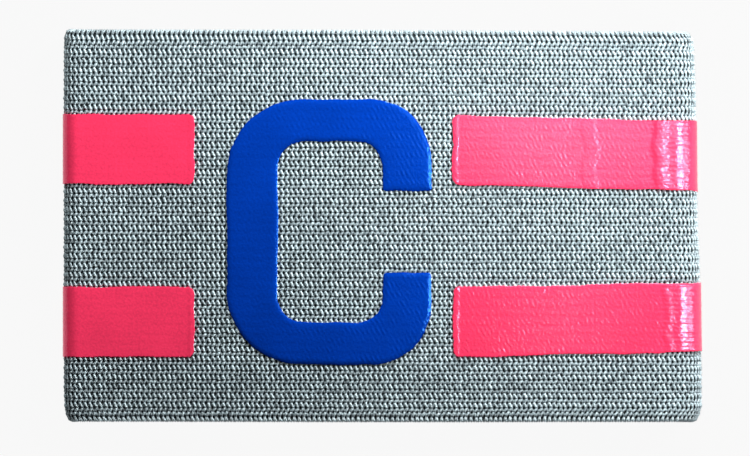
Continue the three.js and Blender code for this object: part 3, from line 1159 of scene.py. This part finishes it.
class ARMBAND_OT_letter(bpy.types.Operator):
    """Cuts the letter from film, rounds its edges and lays it on the face"""

    bl_idname = "armband.letter"
    bl_label = "Letter"

    def execute(self, context):
        loop, knit, film = loop_and_sizes(context.scene)
        piece = cut_letter(film)
        seen = thicken_film(piece, film, film.letter_top)
        near_edge = np.clip(1 - letter_inset(seen[:, 0], seen[:, 1], film) / EDGE_REACH, 0, 1)
        seen[:, 2] -= EDGE_FALL * near_edge ** 2 * (seen[:, 2] > 0)
        flat = loop.face_to_flat(seen)
        rng = np.random.default_rng(SEED + 2)
        finish_cloth(piece, drape_film(flat, loop, knit, LETTER_SCALLOP, rng), loop)
        shade = context.scene.armband_colours.letter
        material = film_material("letter_film", shade, LETTER_FINISH, loop, knit)
        dress(piece, material, slot="letter_film")
        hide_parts("letter_c")
        return {"FINISHED"}


ACROSS_ONLY = (0, 1, 0)
END_RIDGE = 0.09 * MM
END_RIDGE_INSET = 0.6 * MM
END_RIDGE_WIDTH = 0.28 * MM
END_RIDGE_WAVES = ((1.4, 0.28), (0.8, 0.28))


def ridge_end(flat, inner, rng):
    """Raises the film in a narrow, uneven ridge along its inner end."""
    inset = np.abs(flat[:, 0] - inner) - END_RIDGE_INSET
    uneven = 1 + wave_sum(flat * ACROSS_ONLY, END_RIDGE_WAVES, rng)
    flat[:, 2] += END_RIDGE * uneven * np.exp(-((inset / END_RIDGE_WIDTH) ** 2)) * (flat[:, 2] > 0)


# Creases that were pressed into the right stripes. The columns are, in millimetres: seen x where the film
# rises and where it falls again, the lengths of its rise and fall, and its height.
CREASES = {
    "stripe_right_upper": ((36.2, 38.7, 0.4, 0.4, 0.04), (48.9, 50.3, 1.2, 2.6, 0.3)),
    "stripe_right_lower": ((50.2, 51.0, 0.9, 1.5, 0.13),),
}
CREASE_WAVES = ((4.0, 0.25), (1.7, 0.12))


def crease_film(flat, loop, creases, rng):
    """Lifts the film in narrow bands across the stripe, where it was pressed on with a fold in it."""
    on_face = (flat[:, 2] > 0) & (flat[:, 0] < loop.face_along[-1])
    for start, end, rise, fall, height in creases:
        wavy = wave_sum(flat * ACROSS_ONLY, CREASE_WAVES, rng)
        place = loop.seen_x(flat[:, 0]) / MM + wavy
        band = smooth((place - start) / rise) - smooth((place - end) / fall)
        flat[:, 2] += height * MM * band * on_face


class ARMBAND_OT_stripes(bpy.types.Operator):
    """Cuts the four stripes from film and lays them round the folds"""

    bl_idname = "armband.stripes"
    bl_label = "Stripes"

    def execute(self, context):
        loop, knit, film = loop_and_sizes(context.scene)
        rng = np.random.default_rng(SEED + 3)
        shade = context.scene.armband_colours.stripe
        material = film_material("stripe_film", shade, STRIPE_FINISH, loop, knit)
        for name, side, row, turn in STRIPES:
            start_x, (start, end) = stripe_span(loop, film, side)
            centre = film.stripe_y + row * film.stripe_spacing / 2
            low, high = (start, centre - film.stripe_height / 2), (end, centre + film.stripe_height / 2)
            piece = flat_block(f"{name}_film", low, high)
            corners = [(x, y) for x in (low[0], high[0]) for y in (low[1], high[1])]
            round_corners(piece, corners, film.stripe_corner, CORNER_SEGMENTS)
            cut_grid(STRIPE_STEP_ALONG, STRIPE_STEP_ACROSS, low, high)
            flat = thicken_film(piece, film, film.stripe_top)
            ridge_end(flat, start if side > 0 else end, rng)
            crease_film(flat, loop, CREASES.get(name, ()), rng)
            flat[:, 1] += stripe_lean(loop, film, start_x, turn, flat[:, 0])
            finish_cloth(piece, drape_film(flat, loop, knit, STRIPE_SCALLOP, rng), loop)
            dress(piece, material, slot="stripe_film")
            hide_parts(name)
        return {"FINISHED"}


SEEN_WIDTH = 134.25 * MM
CAMERA_HEIGHT = 2.0
CAMERA_CENTRE = (-1.25 * MM, -0.45 * MM)
FACE_LEVEL = 8 * MM
SENSOR = 36
CLIPPING = (0.01, 10)
FLOOR_SIZE = 3.0
FLOOR_LEVEL = -0.05 * MM
SKY = (0.93, 0.97, 1.0, 1)
SKY_STRENGTH = 0.02
BAND_MIDDLE = (0.0, 0.0, 0.01)
RIGHT_FOLD = (0.05, 0.0, 0.008)

# The lights. The columns are: name, place, what it is aimed at, power in watts, its sides across and along
# the way it leans, and whether it shows in matt surfaces and in shine.
LIGHTS = (
    ("key", (0.06, 0.14, 0.095), BAND_MIDDLE, 0.468, 0.05, 0.05, True, True),
    ("upper", (-0.036, 0.064, 0.085), BAND_MIDDLE, 0.053, 0.03, 0.03, True, False),
    ("side", (0.11, 0.0, 0.067), BAND_MIDDLE, 0.088, 0.03, 0.03, True, False),
    ("veil", (0.056, 0.05, 0.12), (0.056, 0.05, 0.0), 0.072, 0.075, 0.072, False, True),
    ("fold_high", (0.337, 0.0, 0.418), RIGHT_FOLD, 4.6, 0.07, 0.26, False, True),
    ("fold_low", (0.50, 0.0, 0.19), RIGHT_FOLD, 1.1, 0.06, 0.15, False, True),
)


def add_light(name, place, aim, power, across, along, in_matt, in_shine):
    bpy.ops.object.light_add(type="AREA", location=place)
    light = bpy.context.object
    light.name = name
    light.data.shape = "RECTANGLE"
    light.data.size, light.data.size_y = across, along
    light.data.energy = power
    light.visible_diffuse, light.visible_glossy = in_matt, in_shine
    light.rotation_euler = (Vector(aim) - Vector(place)).to_track_quat("-Z", "Y").to_euler()


class ARMBAND_OT_stage(bpy.types.Operator):
    """Sets the pale floor, the soft lights and the camera straight above the armband"""

    bl_idname = "armband.stage"
    bl_label = "Stage"

    def execute(self, context):
        deselect_all()
        bpy.ops.mesh.primitive_plane_add(size=FLOOR_SIZE, location=(0, 0, FLOOR_LEVEL))
        floor = context.object
        floor.name = "floor"
        floor.data.materials.append(floor_material(context.scene.armband_colours))
        for light in LIGHTS:
            add_light(*light)
        world = bpy.data.worlds.new("studio")
        world.use_nodes = True
        background = world.node_tree.nodes["Background"]
        background.inputs["Color"].default_value = SKY
        background.inputs["Strength"].default_value = SKY_STRENGTH
        context.scene.world = world
        camera_place = (*CAMERA_CENTRE, CAMERA_HEIGHT + FACE_LEVEL)
        bpy.ops.object.camera_add(location=camera_place, rotation=(0, 0, 0))
        camera = context.object
        camera.data.sensor_width = SENSOR
        camera.data.lens = SENSOR * CAMERA_HEIGHT / SEEN_WIDTH
        camera.data.clip_start, camera.data.clip_end = CLIPPING
        context.scene.camera = camera
        context.scene.view_settings.view_transform = "Standard"
        return {"FINISHED"}


class ARMBAND_PT_pieces(bpy.types.Panel):
    """Lists the armband's pieces"""

    bl_label = "Armband"
    bl_idname = "ARMBAND_PT_pieces"
    bl_space_type = "VIEW_3D"
    bl_region_type = "UI"
    bl_category = "Armband"

    def draw(self, context):
        for operator in OPERATORS:
            self.layout.operator(operator.bl_idname)


GROUPS = (LoopSizes, KnitSizes, FilmSizes, Colours)
OPERATORS = (
    ARMBAND_OT_core,
    ARMBAND_OT_knit,
    ARMBAND_OT_rims,
    ARMBAND_OT_seam,
    ARMBAND_OT_letter,
    ARMBAND_OT_stripes,
    ARMBAND_OT_stage,
)
CLASSES = (*GROUPS, *OPERATORS, ARMBAND_PT_pieces)


def register():
    for item in CLASSES:
        bpy.utils.register_class(item)
    scene = bpy.types.Scene
    scene.armband_loop = bpy.props.PointerProperty(type=LoopSizes)
    scene.armband_knit = bpy.props.PointerProperty(type=KnitSizes)
    scene.armband_film = bpy.props.PointerProperty(type=FilmSizes)
    scene.armband_colours = bpy.props.PointerProperty(type=Colours)


def unregister():
    scene = bpy.types.Scene
    del scene.armband_loop, scene.armband_knit, scene.armband_film, scene.armband_colours
    for item in reversed(CLASSES):
        bpy.utils.unregister_class(item)


def declare_cloth():
    """Builds the loop from the scene's sizes; nothing else is done with it."""
    loop, _, _ = loop_and_sizes(bpy.context.scene)


def main():
    register()
    bpy.ops.armband.core()
    bpy.ops.armband.knit()
    bpy.ops.armband.rims()
    bpy.ops.armband.seam()
    bpy.ops.armband.letter()
    bpy.ops.armband.stripes()
    bpy.ops.armband.stage()
    declare_cloth()


if __name__ == "__main__":
    main()
